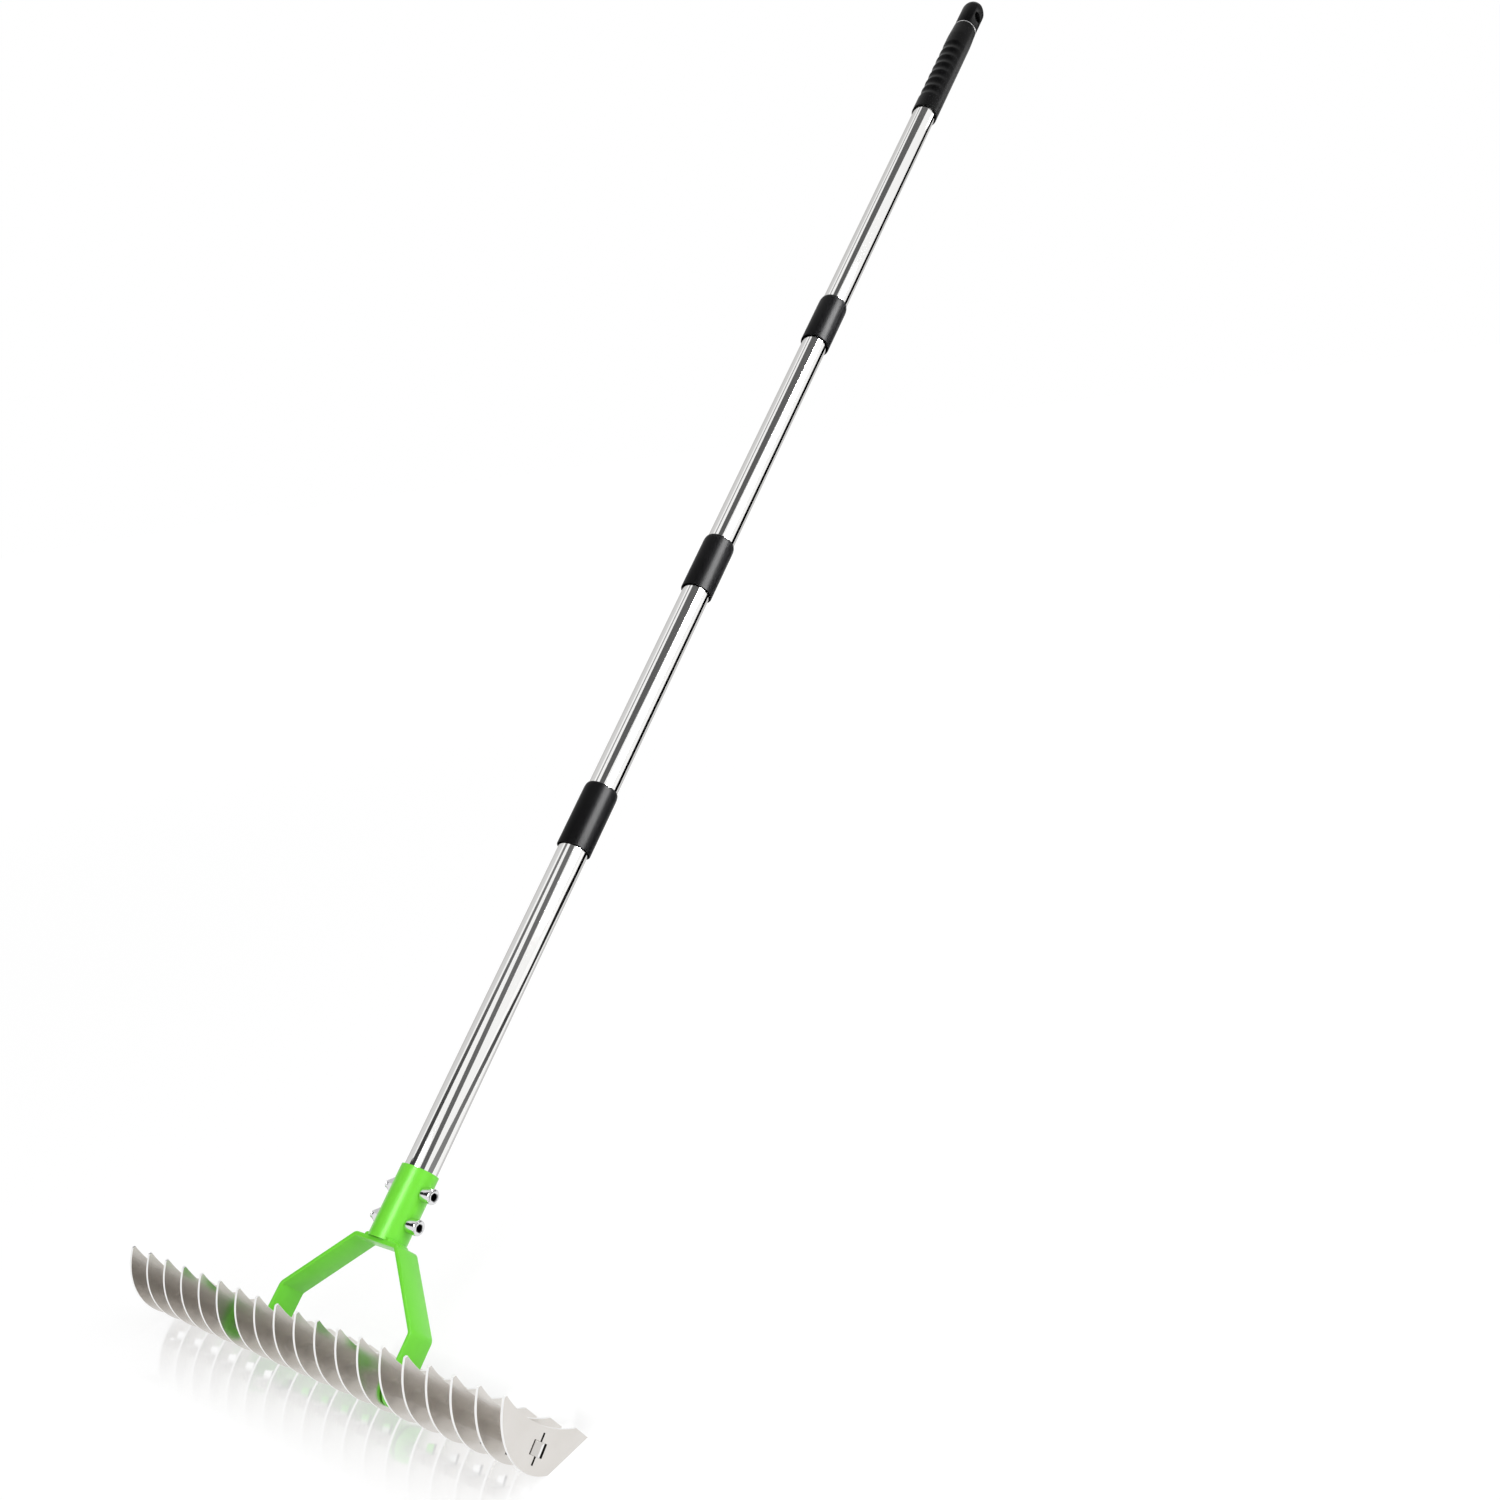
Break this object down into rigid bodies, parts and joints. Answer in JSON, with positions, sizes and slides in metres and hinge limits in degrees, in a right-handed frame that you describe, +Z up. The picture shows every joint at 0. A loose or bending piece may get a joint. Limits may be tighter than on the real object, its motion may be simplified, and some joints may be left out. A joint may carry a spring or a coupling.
{
  "type": "thatch rake",
  "caption": "Thatch rake with a row of sickle shaped stainless blades, a green bent bracket with a clamped socket and a sectional polished tube handle with screw couplers and a grip.",
  "frame": {"origin": "On the ground, in the middle of the straight edge of the middle blade, with the rake standing on its straight edges", "axes": "+X along the blade bar, towards the clamp bolt heads; +Y the way the handle leans, from the long tips to the short tips; +Z up from the ground"},
  "size_m": [0.3884, 1.2109, 1.0164],
  "materials": {
    "blade_steel": "bright rolled stainless sheet with a soft mirror finish and laser cut edges",
    "bar_steel": "drawn stainless bar with small bright weld tacks",
    "green_paint": "glossy lime green powder coat over steel",
    "fastener_chrome": "bright plated screws and locking nuts",
    "tube_steel": "polished stainless tube",
    "dark_nylon": "plain dark grey nylon",
    "black_plastic": "satin black moulded plastic",
    "grip_rubber": "satin black moulded rubber with finger grooves",
    "washer_steel": "plain pale steel"
  },
  "bodies": {
    "head": {"blade_01": "blade_steel", "blade_02": "blade_steel", "blade_03": "blade_steel", "blade_04": "blade_steel", "blade_05": "blade_steel", "blade_06": "blade_steel", "blade_07": "blade_steel", "blade_08": "blade_steel", "blade_09": "blade_steel", "blade_10": "blade_steel", "blade_11": "blade_steel", "blade_12": "blade_steel", "blade_13": "blade_steel", "blade_14": "blade_steel", "blade_15": "blade_steel", "blade_16": "blade_steel", "blade_17": "blade_steel", "blade_18": "blade_steel", "blade_19": "blade_steel", "blade_bar": "bar_steel", "blade_welds": "bar_steel", "bracket": "green_paint", "arm_welds": "green_paint", "socket": "green_paint", "socket_weld": "green_paint", "clamp_bolts": "fastener_chrome", "clamp_nuts": "fastener_chrome", "handle_tube_1": "tube_steel", "thread_ferrule_1": "dark_nylon"},
    "section_2": {"handle_tube_2": "tube_steel", "joint_bush_1": "dark_nylon", "thread_ferrule_2": "dark_nylon"},
    "collar_1": {"coupler_1": "black_plastic"},
    "section_3": {"handle_tube_3": "tube_steel", "joint_bush_2": "dark_nylon", "thread_ferrule_3": "dark_nylon"},
    "collar_2": {"coupler_2": "black_plastic"},
    "section_4": {"handle_tube_4": "tube_steel", "joint_bush_3": "dark_nylon", "grip": "grip_rubber", "end_plug": "dark_nylon", "swivel_washer": "washer_steel"},
    "collar_3": {"coupler_3": "black_plastic"},
    "cap": {"hang_cap": "black_plastic", "cap_clip": "washer_steel"}
  },
  "joints": [
    {"name": "section_2_slide", "type": "slide", "parent": "head", "child": "section_2", "axis": [0, 0.7672, 0.6414], "range_m": [0, 0.0105]},
    {"name": "collar_1_turn", "type": "hinge", "parent": "section_2", "child": "collar_1", "pos_m": [0, 0.3108, 0.29803], "axis": [0, 0.7672, 0.6414], "range_deg": [0, 1260.5]},
    {"name": "section_3_slide", "type": "slide", "parent": "section_2", "child": "section_3", "axis": [0, 0.7672, 0.6414], "range_m": [0, 0.0105]},
    {"name": "collar_2_turn", "type": "hinge", "parent": "section_3", "child": "collar_2", "pos_m": [0, 0.51448, 0.46833], "axis": [0, 0.7672, 0.6414], "range_deg": [0, 1260.5]},
    {"name": "section_4_slide", "type": "slide", "parent": "section_3", "child": "section_4", "axis": [0, 0.7672, 0.6414], "range_m": [0, 0.0105]},
    {"name": "collar_3_turn", "type": "hinge", "parent": "section_4", "child": "collar_3", "pos_m": [0, 0.75614, 0.67039], "axis": [0, 0.7672, 0.6414], "range_deg": [0, 1260.5]},
    {"name": "cap_swivel", "type": "hinge", "parent": "section_4", "child": "cap", "pos_m": [0, 1.12906, 0.9822], "axis": [0, 0.7672, 0.6414], "continuous": true}
  ],
  "couplings": [
    {"joint": "collar_1_turn", "follows": "section_2_slide", "rad_per_m": 2094.4},
    {"joint": "collar_2_turn", "follows": "section_3_slide", "rad_per_m": 2094.4},
    {"joint": "collar_3_turn", "follows": "section_4_slide", "rad_per_m": 2094.4}
  ]
}
